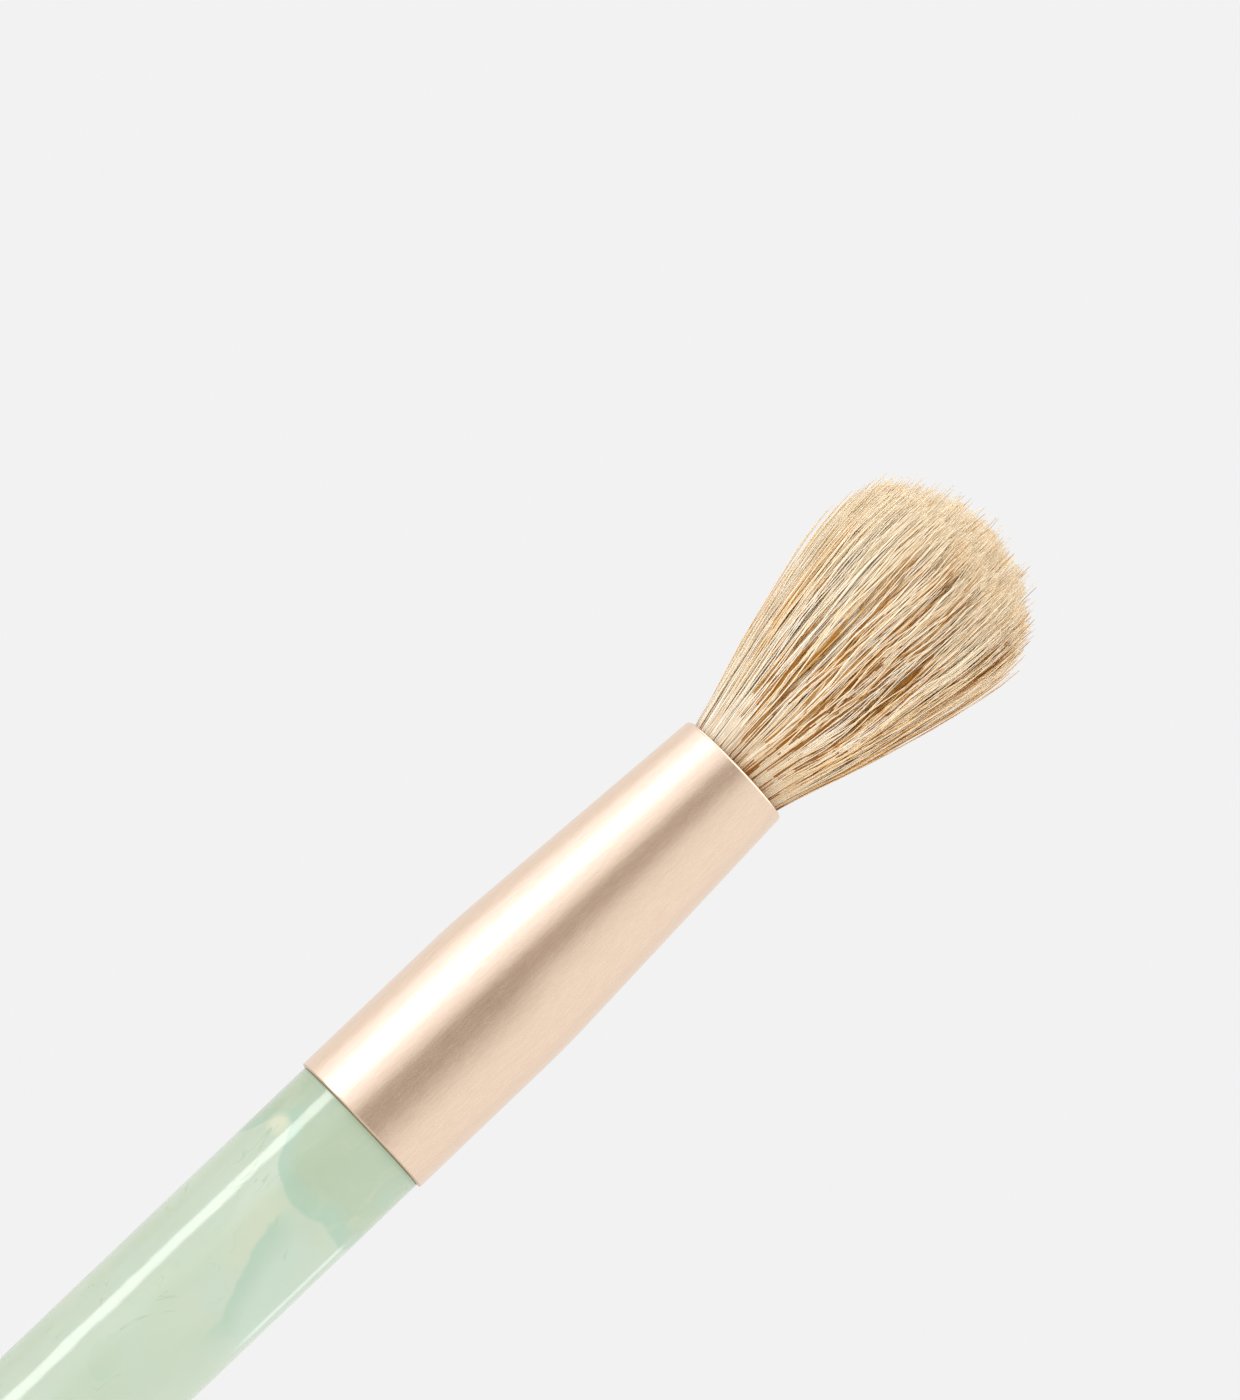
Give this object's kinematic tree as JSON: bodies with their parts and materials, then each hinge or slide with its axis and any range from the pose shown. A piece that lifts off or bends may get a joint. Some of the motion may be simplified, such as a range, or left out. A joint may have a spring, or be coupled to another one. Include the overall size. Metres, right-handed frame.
{
  "type": "eyeshadow brush",
  "caption": "Round eyeshadow blending brush: marbled resin handle, satin metal ferrule tapering to its mouth, and a flared, domed tuft of pale natural hair.",
  "frame": {"origin": "lowest point of the handle's rounded tail, on the brush's axis", "axes": "+Z along the brush's axis, from the tail to the bristle tips; the brush is round, so X and Y are free"},
  "size_m": [0.0116, 0.0116, 0.16],
  "materials": {
    "marbled_resin": "polished, milky jade-green marbled resin with faint veins",
    "satin_metal": "satin anodised, champagne rose, with a fine grain",
    "natural_hair": "fine cream hair with brown streaks and pale tips",
    "cured_glue": "cured amber glue",
    "tie_thread": "off-white thread"
  },
  "bodies": {
    "root": {"handle": "marbled_resin", "tenon_glue": "cured_glue", "ferrule": "satin_metal", "root_plug": "cured_glue", "root_tie": "tie_thread", "bristle_tuft": "natural_hair"}
  },
  "joints": []
}
